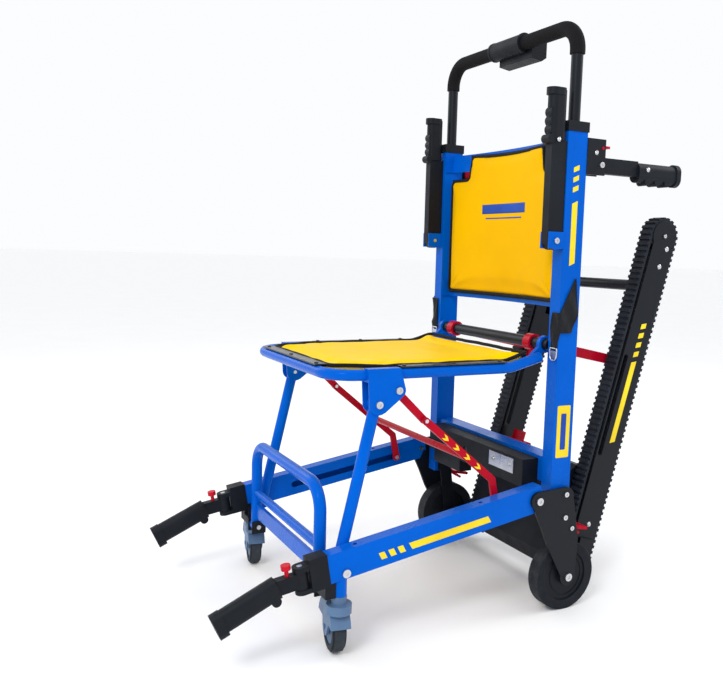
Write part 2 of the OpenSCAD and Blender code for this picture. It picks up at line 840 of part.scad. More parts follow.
module strut_pins() at_axle() color(silver) both_sides() {
    at(strut_knee) x_bar(4, 207, 227);
    at(strut_foot) x_bar(5, 215, 229.4);
    at(strut_foot) x_bar(8, 223.02, 228);
}

// ---- base ----

module rail_envelope() on_rail() translate([rail_in, -rail_len - 60, -rail_down])
    cube([rail_w, rail_len + 80, rail_h + 200]);

module rails() at_axle() color(blue) both_sides() {
    on_rail() difference() {
        translate([rail_in, -rail_len, -rail_down]) cube([rail_w, rail_len + 12, rail_h]);
        translate([rail_in + wall, -rail_len - 1, -rail_down + wall])
            cube([rail_w - 2 * wall, rail_len + 14, rail_h - 2 * wall]);
        // rear end cut back under the pivot
        translate([rail_in - 1, 0, 0]) rotate([-35, 0, 0]) translate([0, 8, -60])
            cube([rail_w + 2, 40, 60]);
        x_bar(6.05, rail_in - 1, rail_out + 1);
        // strut slot in the inner face
        x_sheet(rail_in - 1, rail_in + wall + 1) link2d([-slot_to + 7, 0], [-slot_from - 7, 0], 7);
        // accessory holes in the top face
        for (s = [130, 410]) translate([rail_x, -s, rail_up - wall - 1])
            cylinder(r = 4.25, h = wall + 2);
        at([-440, -14]) x_bar(4.05, rail_in - 1, rail_out + 1);
    }
    // caster boss welded under the rail
    difference() {
        translate([rail_x, caster_y, boss_low]) cylinder(r = 13.9, h = 60);
        rail_envelope();
        translate([rail_x, caster_y, boss_low - 1]) cylinder(r = 9.05, h = 26);
    }
}

lug_y = -522;                           // handle hinge along the rail
socket_y = -508;                        // front face of the handle socket

module rail_pins() at_axle() color(silver) both_sides() {
    on_rail() {
        // leg bolt and handle hinge pin
        at([-440, -14]) translate([rail_out, 0, 0]) screw(8, 4, 4, 28.5);
        translate([rail_x, lug_y, -rail_down - 4]) cylinder(r = 5, h = 52);
    }
    at(hoop_pivot) x_bar(5, 168, 208);
}

module front_sockets() at_axle() color(black) both_sides() {
    // handle socket on the rail's front end
    on_rail() difference() {
        union() {
            translate([rail_in - 1, socket_y, -rail_down - 4])
                cube([rail_w + 2, -socket_y - rail_len - 0.05, rail_h + 7]);
            translate([rail_in + wall + 0.1, -rail_len - 0.1, -rail_down + wall + 0.1])
                cube([rail_w - 2 * wall - 0.2, 14, rail_h - 2 * wall - 0.2]);
            for (z = [-rail_down - 4, 14]) {
                translate([rail_x, lug_y, z]) cylinder(r = 14, h = 9);
                translate([rail_x - 14, lug_y, z]) cube([28, socket_y - lug_y + 1, 9]);
            }
        }
        translate([rail_x, lug_y, -60]) cylinder(r = 5.05, h = 120);
    }
    // yoke that carries the footrest hoop
    difference() {
        union() {
            translate([172, -556, 106]) cube([31, 32, 28.6]);
            translate([203 - eps, -556, 120]) cube([51, 32, 40]);
        }
        translate([174.4, -560, 100]) cube([25.2, 32.6, 44]);
        translate([203.5, -560, 137]) cube([26, 40, 40]);
        rail_envelope();
        at(hoop_pivot) x_bar(5.05, 170, 214);
        translate([rail_x, caster_y, 100]) cylinder(r = 15.1, h = 70);
    }
}

hoop_pivot = [-541, 121];
hoop_half = 187;
hoop_top = 312;
hoop_corner = 50;

module footrest_hoop() at_axle() color(blue) difference() {
    union() {
        both_sides() {
            translate([hoop_half, hoop_pivot[0], hoop_pivot[1]])
                cylinder(r = 12, h = hoop_top - hoop_corner - hoop_pivot[1]);
            at(hoop_pivot) x_bar(12.5, hoop_half - 12.3, hoop_half + 12.3);
            translate([hoop_half - hoop_corner, hoop_pivot[0], hoop_top - hoop_corner])
                rotate([90, 0, 0]) rotate_extrude(angle = 90) translate([hoop_corner, 0]) circle(12);
        }
        at([hoop_pivot[0], hoop_top]) x_bar(12, -hoop_half + hoop_corner - eps, hoop_half - hoop_corner + eps);
        at([hoop_pivot[0], 198]) x_bar(9.5, -hoop_half, hoop_half);
        translate([-hoop_half, hoop_pivot[0] - 4, 142]) cube([2 * hoop_half, 8, 32]);
    }
    both_sides() at(hoop_pivot) x_bar(5.1, 170, 204);
}

// front lifting handle, hinged on the pin of its socket
module front_handle() on_rail() {
    difference() {
        union() {
            translate([rail_x, lug_y, -19.5]) cylinder(r = 13, h = 33);
            translate([rail_x - 9, lug_y - 48, -17]) cube([18, 48, 28]);
        }
        translate([rail_x, lug_y, -30]) cylinder(r = 5.1, h = 60);
        translate([rail_x, lug_y - 25, -12]) cylinder(r = 4.3, h = 40);
    }
    // grip bent down from the arm, with a finger guard under its root
    translate([rail_x, lug_y - 46, -3]) rotate([15.4, 0, 0]) {
        rotate([0, 0, 180]) plain_grip(124, 28, 44);
        translate([-13, -13, -19]) rotate([0, 90, 0]) cylinder(r = 9, h = 26);
    }
}

module front_handle_left() at_axle() color(black) front_handle();
module front_handle_right() at_axle() color(black) mirror([1, 0, 0]) front_handle();

module plunger() on_rail() translate([rail_x, lug_y - 25, 0]) {
    translate([0, 0, -4]) cylinder(r = 4, h = 30);
    translate([0, 0, 24]) cylinder(r = 9, h = 9);
}

module plunger_left() at_axle() color(red) plunger();
module plunger_right() at_axle() color(red) mirror([1, 0, 0]) plunger();

// ---- casters ----

// places a caster on its swivel axis, with its trail turned to its direction at rest
module on_caster(side) translate([side * rail_x, caster_y, 0]) rotate([0, 0, caster_turn]) children();

fork_half = caster_w / 2 + 6;

module caster_fork(side) on_caster(side) difference() {
    union() {
        translate([0, 0, boss_low - 5]) cylinder(r = 9, h = 28);
        translate([0, 0, boss_low - 17]) cylinder(r = 14.5, h = 16.7);
        // hood over the wheel, with its two cheeks
        difference() {
            union() {
                translate([0, 0, 88]) cylinder(r = 24, h = 17);
                at([caster_trail, caster_r]) x_bar(caster_r + 7, -fork_half, fork_half);
                x_sheet(-fork_half, fork_half) link2d([6, 88], [caster_trail, 88], 15);
            }
            x_sheet(-60, 60) translate([-80, -40]) square([200, 40 + 62]);
            translate([-60, -80, 105]) cube([120, 200, 40]);
            at([caster_trail, caster_r]) x_bar(caster_r + 3, -caster_w / 2 - 1.5, caster_w / 2 + 1.5);
        }
        for (s = [-1, 1]) translate([s * (fork_half - 2.2) - 2.2, 0, 0]) x_sheet(0, 4.4) {
            link2d([16, 78], [caster_trail, caster_r], 17);
            link2d([44, 74], [caster_trail, caster_r], 13);
        }
    }
    at([caster_trail, caster_r]) x_bar(5.05, -40, 40);
}

module caster_fork_left() at_axle() color(grey) caster_fork(1);
module caster_fork_right() at_axle() color(grey) caster_fork(-1);

module caster_wheel(side) on_caster(side) at([caster_trail, caster_r]) {
    difference() {
        union() {
            x_bar(caster_r, -caster_w / 2 + 3, caster_w / 2 - 3);
            x_bar(caster_r - 4, -caster_w / 2, caster_w / 2);
        }
        x_bar(34, -caster_w / 2 - 1, caster_w / 2 + 1);
    }
    difference() {
        x_bar(33.9, -caster_w / 2 + 2, caster_w / 2 - 2);
        x_bar(5.2, -caster_w, caster_w);
    }
    x_bar(5, -caster_w / 2 - 8, caster_w / 2 + 8);
}

module caster_wheel_left() at_axle() color(black) caster_wheel(1);
module caster_wheel_right() at_axle() color(black) caster_wheel(-1);

posts();
post_caps();
lower_crossbeam();
back_bands();
backrest_pad();
backrest_panel();
guide_card();
seat_pivot_tube();
side_plates();
frame_bolts();
handle_brackets();
battery_box();
battery_pack();
data_plate();
drive_cable();
belt_straps();
wheel_left();
wheel_right();
push_bar();
foam_sleeve();
control_housing();
control_display();
button_up();
button_down();
release_bar();
rear_handle_left();
rear_handle_right();
rear_latch_left();
rear_latch_right();
armrest_left();
armrest_right();
track_frames();
track_belts();
drive_housing();
gear_motor();
drive_shaft();
idlers();
track_stay();
release_pedal();
brake_left();
brake_right();
seat_frame();
seat_pad();
seat_strips();
seat_brackets();
front_legs();
struts();
strut_pins();
rails();
rail_pins();
front_sockets();
footrest_hoop();
front_handle_left();
front_handle_right();
plunger_left();
plunger_right();
caster_fork_left();
caster_fork_right();
caster_wheel_left();
caster_wheel_right();
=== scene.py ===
"""Looks of the powered stair chair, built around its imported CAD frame."""
import json
import math

import bmesh
import bpy
from mathutils import Matrix, Vector, noise
from mathutils.bvhtree import BVHTree


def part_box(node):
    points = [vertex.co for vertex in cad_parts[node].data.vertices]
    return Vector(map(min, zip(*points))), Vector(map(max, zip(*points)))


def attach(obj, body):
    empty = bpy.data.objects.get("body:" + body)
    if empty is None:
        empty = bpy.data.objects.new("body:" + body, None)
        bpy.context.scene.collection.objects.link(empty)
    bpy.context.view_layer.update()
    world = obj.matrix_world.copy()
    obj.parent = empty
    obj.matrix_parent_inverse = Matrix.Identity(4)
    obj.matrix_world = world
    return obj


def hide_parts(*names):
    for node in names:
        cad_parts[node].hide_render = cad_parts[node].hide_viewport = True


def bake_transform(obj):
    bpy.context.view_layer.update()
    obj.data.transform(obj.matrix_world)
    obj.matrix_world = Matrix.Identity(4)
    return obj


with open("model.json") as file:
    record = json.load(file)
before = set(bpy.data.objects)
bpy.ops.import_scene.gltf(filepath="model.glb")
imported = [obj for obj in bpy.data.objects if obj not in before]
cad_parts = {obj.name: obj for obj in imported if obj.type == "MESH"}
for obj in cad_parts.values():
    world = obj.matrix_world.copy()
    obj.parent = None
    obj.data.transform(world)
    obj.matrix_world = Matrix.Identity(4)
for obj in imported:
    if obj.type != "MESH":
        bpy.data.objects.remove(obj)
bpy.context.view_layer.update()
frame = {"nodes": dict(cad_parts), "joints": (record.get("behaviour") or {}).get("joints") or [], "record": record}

JOINTS = {joint["name"]: joint for joint in frame["joints"]}
NODES = frame["nodes"]
MM = 0.001

# The middle of the rear wheel axle on the floor: the point that the millimetre sizes below start from.
WHEEL_LEFT = Vector(JOINTS["wheel_left_spin"]["pos_m"])
WHEEL_RIGHT = Vector(JOINTS["wheel_right_spin"]["pos_m"])
ORIGIN = Vector(((WHEEL_LEFT.x + WHEEL_RIGHT.x) / 2, WHEEL_LEFT.y, 0))
SIDES = ((1, "left"), (-1, "right"))
RAIL_SLOPE = math.radians(9.26)
TRACK_LEAN = math.radians(15.8)
ALONG_TRACK = Vector((0, math.sin(TRACK_LEAN), math.cos(TRACK_LEAN)))
ACROSS_TRACK = Vector((0, math.cos(TRACK_LEAN), -math.sin(TRACK_LEAN)))
RAIL_FACE, POST_FACE, TRACK_FACE = 258, 252.5, 196      # outer faces, across from the middle
BACK_BOW = 22
POST_INNER = 220.5


def at(x, y, z):
    """A point in the row frame from millimetres counted from the middle of the rear axle."""
    return ORIGIN + Vector((x, y, z)) * MM


def track_point(x, a, b):
    """A point at x across the chair, a millimetres behind a track's middle line and b up along it."""
    spot = at(0, 82, 67) + ACROSS_TRACK * (a * MM) + ALONG_TRACK * (b * MM)
    return Vector((at(x, 0, 0).x, spot.y, spot.z))


def local_box(node):
    """A node's lowest and highest corners in millimetres from the middle of the rear axle."""
    low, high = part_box(node)
    return (Vector(low) - ORIGIN) / MM, (Vector(high) - ORIGIN) / MM


# ---------------------------------------------------------------- camera

def add_camera():
    """The camera fitted to the photograph, measured from the middle of the rear axle."""
    azimuth, distance, height = math.radians(54.402), 1931.4, 751.9
    heading = azimuth + math.radians(6.91)
    pitch, roll = math.radians(6.36), math.radians(1.745)
    focal_px, middle_px, image_px = 818.13, (406.4, 344.5), (723, 700)
    place = at(math.sin(azimuth) * distance, -math.cos(azimuth) * distance, height)
    forward = Vector((-math.sin(heading) * math.cos(pitch), math.cos(heading) * math.cos(pitch),
                      -math.sin(pitch)))
    right = forward.cross(Vector((0, 0, 1))).normalized()
    up = right.cross(forward)
    x_axis = right * math.cos(roll) + up * math.sin(roll)
    y_axis = up * math.cos(roll) - right * math.sin(roll)
    data = bpy.data.cameras.new("camera")
    data.lens = focal_px * data.sensor_width / image_px[0]
    data.shift_x = (image_px[0] / 2 - middle_px[0]) / image_px[0]
    data.shift_y = (middle_px[1] - image_px[1] / 2) / image_px[0]
    data.clip_end = 100
    camera = bpy.data.objects.new("camera", data)
    bpy.context.scene.collection.objects.link(camera)
    camera.matrix_world = Matrix.Translation(place) @ Matrix(
        (x_axis, y_axis, -forward)).transposed().to_4x4()
    bpy.context.scene.camera = camera


# ---------------------------------------------------------------- node helpers

class Shader:
    """A Principled material with short calls for its nodes."""

    def __init__(self, name):
        self.material = bpy.data.materials.new(name)
        self.material.use_nodes = True
        self.tree = self.material.node_tree
        self.bsdf = self.tree.nodes["Principled BSDF"]
        coordinates = self.tree.nodes.new("ShaderNodeTexCoord")
        self.place = coordinates.outputs["Object"]

    def node(self, kind, inputs=None, **settings):
        made = self.tree.nodes.new(kind)
        for key, value in settings.items():
            setattr(made, key, value)
        for key, value in (inputs or {}).items():
            self.feed(made.inputs[key], value)
        return made

    def feed(self, socket, value):
        if isinstance(value, bpy.types.NodeSocket):
            self.tree.links.new(value, socket)
        else:
            socket.default_value = value

    def math(self, operation, a, b=0.0):
        made = self.node("ShaderNodeMath", {0: a, 1: b}, operation=operation)
        return made.outputs[0]

    def noise(self, scale, detail=3.0, roughness=0.55, place=None):
        made = self.node("ShaderNodeTexNoise", {
            "Vector": place or self.place, "Scale": scale, "Detail": detail,
            "Roughness": roughness})
        return made.outputs["Fac"]

    def cells(self, scale, feature="F1"):
        made = self.node("ShaderNodeTexVoronoi", {"Vector": self.place, "Scale": scale},
                         feature=feature)
        return made.outputs["Distance"]

    def stretch(self, scale, location=(0, 0, 0), rotation=(0, 0, 0)):
        made = self.node("ShaderNodeMapping", {
            "Vector": self.place, "Scale": scale, "Location": location, "Rotation": rotation})
        return made.outputs[0]

    def ramp(self, value, low, high, bottom=0.0, top=1.0):
        made = self.node("ShaderNodeMapRange", {
            "Value": value, "From Min": low, "From Max": high, "To Min": bottom, "To Max": top})
        return made.outputs[0]

    def mix(self, share, a, b):
        made = self.node("ShaderNodeMix", data_type="RGBA")
        for index, value in ((0, share), (6, a), (7, b)):
            if isinstance(value, tuple) and len(value) == 3:
                value = (*value, 1)
            self.feed(made.inputs[index], value)
        return made.outputs[2]

    def edges(self, radius, low=0.004, high=0.05):
        """Near 1 on the edges of hard shapes, from the turn of a bevelled normal."""
        bevel = self.node("ShaderNodeBevel", {"Radius": radius}, samples=4)
        geometry = self.node("ShaderNodeNewGeometry")
        dot = self.node("ShaderNodeVectorMath", {0: bevel.outputs[0], 1: geometry.outputs["Normal"]},
                        operation="DOT_PRODUCT")
        return self.ramp(self.math("SUBTRACT", 1.0, dot.outputs["Value"]), low, high)

    def upward(self):
        """Near 1 on faces that look up, where dust settles."""
        geometry = self.node("ShaderNodeNewGeometry")
        split = self.node("ShaderNodeSeparateXYZ", {0: geometry.outputs["Normal"]})
        return self.ramp(split.outputs[2], 0.5, 1.0)

    def axes(self, place=None):
        split = self.node("ShaderNodeSeparateXYZ", {0: place or self.place})
        return split.outputs[0], split.outputs[1], split.outputs[2]

    def bump(self, height, strength, distance=0.001, under=None):
        inputs = {"Height": height, "Strength": strength, "Distance": distance}
        if under is not None:
            inputs["Normal"] = under
        return self.node("ShaderNodeBump", inputs).outputs[0]

    def rounded(self, radius=0.0009):
        return self.node("ShaderNodeBevel", {"Radius": radius}, samples=4).outputs[0]

    def set(self, **values):
        names = {"color": "Base Color", "rough": "Roughness", "metal": "Metallic",
                 "coat": "Coat Weight", "coat_rough": "Coat Roughness", "sheen": "Sheen Weight",
                 "sheen_rough": "Sheen Roughness", "normal": "Normal",
                 "specular": "Specular IOR Level", "tint": "Specular Tint"}
        for key, value in values.items():
            if isinstance(value, tuple) and len(value) == 3:
                value = (*value, 1)
            self.feed(self.bsdf.inputs[names[key]], value)
        return self.material


def shade(color, factor):
    """A colour made lighter or darker, kept below white."""
    return tuple(min(1.0, channel * factor) for channel in color)


# ---------------------------------------------------------------- materials

def painted(name, color, rough=0.3, chip=(0.55, 0.56, 0.58), coat=0.06, wear=0.4, specular=0.12):
    """Powder coat: orange peel, slow colour drift, worn edges and a little dust on top."""
    s = Shader(name)
    drift = s.ramp(s.noise(6, 4), 0.3, 0.7)
    base = s.mix(drift, shade(color, 0.9), shade(color, 1.1))
    smear = s.ramp(s.noise(35, 6, 0.65, s.stretch((1, 1, 0.25))), 0.52, 0.75)
    base = s.mix(s.math("MULTIPLY", smear, 0.18), base, shade(color, 0.72))
    dust = s.math("MULTIPLY", s.upward(), s.ramp(s.noise(60, 5), 0.4, 0.8))
    base = s.mix(s.math("MULTIPLY", dust, 0.025), base, (0.5, 0.5, 0.48))
    worn = s.math("MULTIPLY", s.edges(0.0011), s.ramp(s.noise(85, 5, 0.7), 0.58, 0.66))
    base = s.mix(s.math("MULTIPLY", worn, wear), base, chip)
    scratches = s.ramp(s.noise(240, 2, 0.5, s.stretch((1, 0.06, 0.35), rotation=(0.4, 0.2, 0))), 0.68, 0.8)
    gloss = s.math("ADD", s.ramp(s.noise(18, 5), 0.3, 0.75, rough - 0.06, rough + 0.1),
                   s.math("MULTIPLY", scratches, 0.12))
    peel = s.bump(s.noise(520, 2), 0.10, 0.0004, s.rounded())
    return s.set(color=base, rough=gloss, normal=peel, coat=coat, coat_rough=0.12, specular=specular,
                 tint=color if max(color) > 0.1 else (1, 1, 1))


def moulded(name, color, rough=0.5, grain=1500, strength=0.25, dust_amount=0.03):
    """Moulded plastic: fine spark-eroded grain, rubbed edges, faint dust."""
    s = Shader(name)
    base = s.mix(s.ramp(s.noise(9, 4), 0.3, 0.7), shade(color, 0.85), shade(color, 1.25))
    rubbed = s.math("MULTIPLY", s.edges(0.0013), s.ramp(s.noise(60, 4), 0.4, 0.65))
    base = s.mix(s.math("MULTIPLY", rubbed, 0.35), base, shade(color, 3.2))
    dust = s.math("MULTIPLY", s.upward(), s.ramp(s.noise(90, 6, 0.7), 0.42, 0.75))
    base = s.mix(s.math("MULTIPLY", dust, dust_amount), base, (0.42, 0.42, 0.4))
    gloss = s.ramp(s.noise(24, 5), 0.3, 0.7, rough - 0.07, rough + 0.09)
    pits = s.math("MINIMUM", s.cells(grain), 1.0)
    return s.set(color=base, rough=gloss, normal=s.bump(pits, strength, 0.0003, s.rounded()), specular=0.16)


def rubber(name, color, rough=0.75, ribs=None, dusty=0.3):
    """Rubber or tyre: matt, slightly mottled, scuffed pale along its edges."""
    s = Shader(name)
    mottled = s.ramp(s.noise(45, 6, 0.7), 0.3, 0.72)
    base = s.mix(mottled, shade(color, 0.75), shade(color, 1.45))
    scuff = s.math("MULTIPLY", s.edges(0.0016, 0.002, 0.05), s.ramp(s.noise(30, 5, 0.7), 0.35, 0.7))
    base = s.mix(s.math("MULTIPLY", scuff, dusty), base, (0.11, 0.12, 0.13))
    height = s.noise(700, 3, 0.6)
    if ribs:
        height = s.math("ADD", height, ribs(s))
    gloss = s.ramp(s.noise(33, 4), 0.3, 0.7, rough - 0.08, rough + 0.1)
    normal = s.bump(height, 0.35, 0.0006, s.rounded(0.0007))
    return s.set(color=base, rough=gloss, normal=normal, specular=0.14)


def metal(name, color, rough=0.28, brushed=(1, 1, 1), tarnish=0.25):
    """Bare metal: fine brush lines, cloudy gloss and dull spots."""
    s = Shader(name)
    cloud = s.ramp(s.noise(40, 3, 0.5), 0.3, 0.75)
    base = s.mix(s.math("MULTIPLY", cloud, tarnish), color, shade(color, 0.6))
    lines = s.noise(1400, 2, 0.5, s.stretch(brushed))
    gloss = s.math("ADD", s.ramp(cloud, 0, 1, rough - 0.05, rough + 0.1),
                   s.ramp(lines, 0.3, 0.7, -0.04, 0.06))
    return s.set(color=base, rough=gloss, metal=1.0, normal=s.bump(lines, 0.08, 0.0002, s.rounded(0.0005)))


def vinyl(name, color, axis_b=2):
    """Coated fabric: leather-like grain over a faint weave, soft gloss and slight soiling."""
    s = Shader(name)
    drift = s.ramp(s.noise(5, 4, 0.6), 0.3, 0.7)
    base = s.mix(drift, shade(color, 0.93), shade(color, 1.04))
    soil = s.ramp(s.noise(14, 6, 0.7), 0.55, 0.85)
    base = s.mix(s.math("MULTIPLY", soil, 0.14), base, (0.62, 0.34, 0.0))
    grain = s.cells(900, "SMOOTH_F1")
    x, y, z = s.axes()
    across = (y, z)[axis_b - 1]
    weave = s.math("MULTIPLY", s.math("SINE", s.math("MULTIPLY", x, 5200)),
                   s.math("SINE", s.math("MULTIPLY", across, 5200)))
    puckers = s.noise(26, 4, 0.6)
    fine = s.bump(s.math("ADD", grain, s.math("MULTIPLY", weave, 0.18)), 0.3, 0.0004)
    normal = s.bump(puckers, 0.12, 0.004, fine)
    gloss = s.ramp(s.noise(20, 4), 0.3, 0.7, 0.36, 0.5)
    return s.set(color=base, rough=gloss, normal=normal, specular=0.04, tint=color)


def webbing(name, color, pitch=0.0016):
    """Woven nylon: crossing ribs with a fine diagonal and a dusty nap."""
    s = Shader(name)
    x, y, z = s.axes()
    turn = 2 * math.pi / pitch
    warp = s.math("SINE", s.math("MULTIPLY", s.math("ADD", y, z), turn * 0.7))
    weft = s.math("SINE", s.math("MULTIPLY", s.math("SUBTRACT", z, y), turn * 0.7))
    cross = s.math("MULTIPLY", warp, weft)
    base = s.mix(s.ramp(cross, -1, 1), shade(color, 0.6), shade(color, 1.7))
    nap = s.ramp(s.noise(120, 5, 0.7), 0.45, 0.75)
    base = s.mix(s.math("MULTIPLY", nap, 0.1), base, (0.09, 0.09, 0.095))
    return s.set(color=base, rough=s.ramp(nap, 0, 1, 0.72, 0.9), normal=s.bump(cross, 0.5, 0.0005),
                 sheen=0.05, sheen_rough=0.5, specular=0.12)


def foam(name, color):
    """Closed-cell foam sleeve: pores under a thin skin, polished by hands."""
    s = Shader(name)
    pores = s.cells(1100)
    base = s.mix(s.ramp(pores, 0, 0.6), shade(color, 0.55), shade(color, 1.5))
    polish = s.ramp(s.noise(14, 3), 0.4, 0.7)
    return s.set(color=base, rough=s.ramp(polish, 0, 1, 0.82, 0.66),
                 normal=s.bump(s.math("ADD", pores, s.noise(160, 4)), 0.35, 0.0006), specular=0.1)


def printed_card(name):
    """Blank instruction card: yellow, a blue head band, pale panels and thin rules, no marks."""
    s = Shader(name)
    low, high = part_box("guide_card")
    x, y, z = s.axes()
    across = s.ramp(x, low[0], high[0])
    up = s.ramp(z, low[2], high[2])

    def band(value, a, b):
        return s.math("MULTIPLY", s.math("GREATER_THAN", value, a), s.math("LESS_THAN", value, b))

    base = s.mix(s.ramp(s.noise(7), 0.3, 0.7), (0.86, 0.60, 0.02), (0.95, 0.69, 0.03))
    base = s.mix(s.math("MULTIPLY", band(up, 0.86, 0.95), band(across, 0.07, 0.93)), base,
                 (0.01, 0.07, 0.42))
    for row in range(3):
        inside = s.math("MULTIPLY", band(up, 0.08 + row * 0.255, 0.30 + row * 0.255),
                        band(across, 0.07, 0.46))
        base = s.mix(inside, base, (0.80, 0.82, 0.84))
        rules = s.math("GREATER_THAN", s.math("SINE", s.math("MULTIPLY", up, 260)), 0.45)
        lines = s.math("MULTIPLY", s.math("MULTIPLY", rules, band(across, 0.52, 0.93)),
                       band(up, 0.10 + row * 0.255, 0.28 + row * 0.255))
        base = s.mix(lines, base, (0.06, 0.06, 0.07))
    return s.set(color=base, rough=s.ramp(s.noise(30), 0.3, 0.7, 0.22, 0.34),
                 normal=s.bump(s.noise(12), 0.05, 0.002), coat=0.4, coat_rough=0.1)


def dark_window(name):
    s = Shader(name)
    smudge = s.ramp(s.noise(70, 5), 0.45, 0.8)
    base = s.mix(smudge, (0.012, 0.02, 0.028), (0.03, 0.045, 0.055))
    return s.set(color=base, rough=s.ramp(smudge, 0, 1, 0.07, 0.24), coat=0.6, coat_rough=0.05,
                 normal=s.bump(s.noise(30), 0.02, 0.0005))


def wheel_material(name, centre, radius, side_color, hub_color, turned=False):
    """Tyre and hub of one wheel, told apart by the distance from its axle."""
    s = Shader(name)
    shifted = s.node("ShaderNodeVectorMath", {0: s.place, 1: tuple(centre)}, operation="SUBTRACT")
    x, y, z = s.axes(shifted.outputs[0])
    length = s.math("SQRT", s.math("ADD", s.math("MULTIPLY", y, y), s.math("MULTIPLY", z, z)))
    if turned:
        whole = s.node("ShaderNodeVectorMath", {0: shifted.outputs[0]}, operation="LENGTH")
        length = whole.outputs["Value"]
    tyre = s.ramp(length, radius * 0.715, radius * 0.725)
    tread = s.ramp(length, radius * 0.975, radius * 0.985)
    mottled = s.ramp(s.noise(50, 6, 0.7), 0.3, 0.7)
    tyre_color = s.mix(mottled, shade(side_color, 0.75), shade(side_color, 1.4))
    tyre_color = s.mix(s.math("MULTIPLY", tread, s.ramp(s.noise(38, 6, 0.75), 0.38, 0.7, 0, 0.4)),
                       tyre_color, (0.075, 0.08, 0.09))
    hub = s.mix(mottled, shade(hub_color, 0.8), shade(hub_color, 1.25))
    rings = s.math("SINE", s.math("MULTIPLY", length, 2 * math.pi / 0.0042))
    base = s.mix(tyre, hub, tyre_color)
    fine = s.bump(s.noise(600, 3), 0.3, 0.0005, s.rounded(0.001))
    ringed = s.bump(s.math("MULTIPLY", rings, tyre), 0.22, 0.0008, fine)
    gloss = s.math("ADD", s.ramp(tyre, 0, 1, 0.42, 0.66), s.ramp(s.noise(28, 4), 0.3, 0.7, -0.05, 0.07))
    return s.set(color=base, rough=gloss, normal=ringed, specular=0.14)


def strip_metal(name):
    """Black clamping strips with steel bolts below them, told apart by height."""
    s = Shader(name)
    strip_low = local_box("seat_strips")[1].z - 8
    x, y, z = s.axes()
    below = s.ramp(z, strip_low * MM, (strip_low - 1) * MM)
    cloud = s.ramp(s.noise(60, 5, 0.6), 0.35, 0.7)
    dark = s.mix(cloud, (0.05, 0.052, 0.056), (0.10, 0.10, 0.105))
    steel = s.mix(cloud, (0.62, 0.63, 0.65), (0.45, 0.46, 0.48))
    lines = s.noise(900, 2, 0.5, s.stretch((0.05, 1, 1)))
    gloss = s.math("ADD", s.ramp(cloud, 0, 1, 0.24, 0.36), s.ramp(lines, 0.3, 0.7, -0.04, 0.06))
    return s.set(color=s.mix(below, dark, steel), rough=gloss, metal=0.9,
                 normal=s.bump(lines, 0.08, 0.0002, s.rounded(0.0006)))


BLUE = (0.0, 0.100, 0.54)
YELLOW = (0.80, 0.44, 0.0)
SEAT_YELLOW = (0.95, 0.62, 0.0)
RED = (0.44, 0.003, 0.018)
BLACK = (0.006, 0.008, 0.012)
GREY_BLUE = (0.085, 0.15, 0.26)


def make_materials():
    steel = (0.62, 0.63, 0.65)
    return {
        "blue_frame": painted("blue_paint", BLUE, 0.24, (0.12, 0.22, 0.45), 0.06, 0.3),
        "black_metal": painted("black_paint", BLACK, 0.36, (0.16, 0.17, 0.19), 0.05, 0.4, 0.16),
        "black_plastic": moulded("black_plastic", BLACK),
        "foam_grip": foam("foam_grip", (0.006, 0.006, 0.007)),
        "yellow_vinyl": vinyl("yellow_vinyl", YELLOW),
        "yellow_card": printed_card("blank_card"),
        "zinc_steel": metal("zinc_steel", steel, 0.26),
        "bright_aluminium": strip_metal("clamping_strip"),
        "battery_cells": moulded("cell_sleeve", (0.05, 0.06, 0.08), 0.4),
        "white_label": moulded("blank_label", (0.72, 0.73, 0.74), 0.35, 900, 0.08, 0.05),
        "cable_jacket": rubber("cable_jacket", (0.015, 0.015, 0.017), 0.45, None, 0.1),
        "black_webbing": webbing("black_webbing", (0.009, 0.010, 0.013)),
        "belt_rubber": rubber("belt_rubber", (0.012, 0.015, 0.022), 0.6, None, 0.35),
        "display_glass": dark_window("display_window"),
        "button_grey": moulded("button_rubber", (0.20, 0.21, 0.23), 0.6, 1200, 0.2),
        "red_metal": painted("red_paint", RED, 0.28, (0.3, 0.12, 0.12), 0.1, 0.3),
        "red_plastic": moulded("red_plastic", (0.55, 0.004, 0.02), 0.3, 1800, 0.06, 0.02),
        "motor_grey": painted("motor_paint", (0.14, 0.15, 0.16), 0.45),
        "fork_grey": moulded("fork_shell", GREY_BLUE, 0.4, 1300, 0.12, 0.03),
        "wheel_rubber": rubber("tyre_rubber", (0.012, 0.014, 0.018)),
    }


def paint_nodes(materials):
    """Every CAD node gets its material in place of the plain one it came with."""
    slots = {part["node"]: part["material_slot"] for part in frame["record"]["subparts"]}
    for name, node in NODES.items():
        node.data.materials.clear()
        node.data.materials.append(materials[slots[name]])
    for side, joint in (("left", WHEEL_LEFT), ("right", WHEEL_RIGHT)):
        rear = wheel_material(f"wheel_{side}_rubber", joint, 0.075, (0.009, 0.011, 0.015), BLACK)
        NODES[f"wheel_{side}"].data.materials[0] = rear
        caster = f"caster_wheel_{side}"
        centre = Vector(JOINTS[f"{caster}_spin"]["pos_m"])
        NODES[caster].data.materials[0] = wheel_material(
            f"{caster}_rubber", centre, 0.048, (0.02, 0.026, 0.034), GREY_BLUE, turned=True)


# ---------------------------------------------------------------- mesh helpers

def new_object(name, mesh, material, body, smooth=True):
    """Adds a mesh to the scene, riding on a body and filed under a material slot."""
    made = bpy.data.objects.new(name, mesh)
    bpy.context.scene.collection.objects.link(made)
    if material is not None:
        mesh.materials.append(material)
    if smooth:
        mesh.polygons.foreach_set("use_smooth", [True] * len(mesh.polygons))
    if body is not None:
        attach(made, body)
    return made


